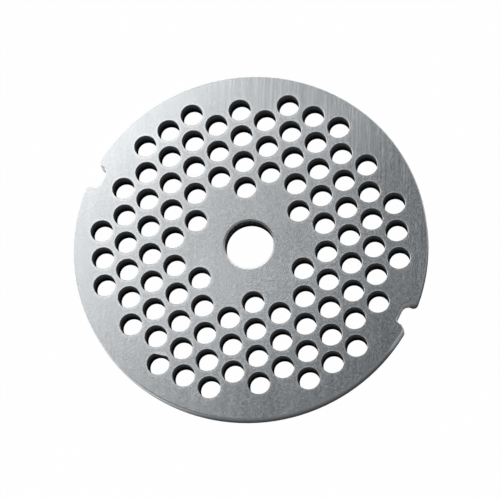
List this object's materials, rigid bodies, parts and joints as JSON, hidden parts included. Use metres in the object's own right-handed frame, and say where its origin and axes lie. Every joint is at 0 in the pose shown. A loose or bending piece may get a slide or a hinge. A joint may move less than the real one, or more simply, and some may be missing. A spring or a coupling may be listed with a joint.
{
  "type": "meat grinder plate",
  "caption": "Flat round steel plate with a centre bore, a hexagonal field of small through holes and key slots in its rim, for a food grinder.",
  "frame": {"origin": "on the axis of the centre bore, in the outlet face that the plate rests on", "axes": "+Z along the bore's axis, from the outlet face to the cutting face; the two key slots lie on +X and -X"},
  "size_m": [0.0698, 0.07, 0.004],
  "materials": {
    "ground_steel": "ground flat, satin, with a fine straight grain on both faces"
  },
  "bodies": {
    "root": {"plate": "ground_steel"}
  },
  "joints": []
}
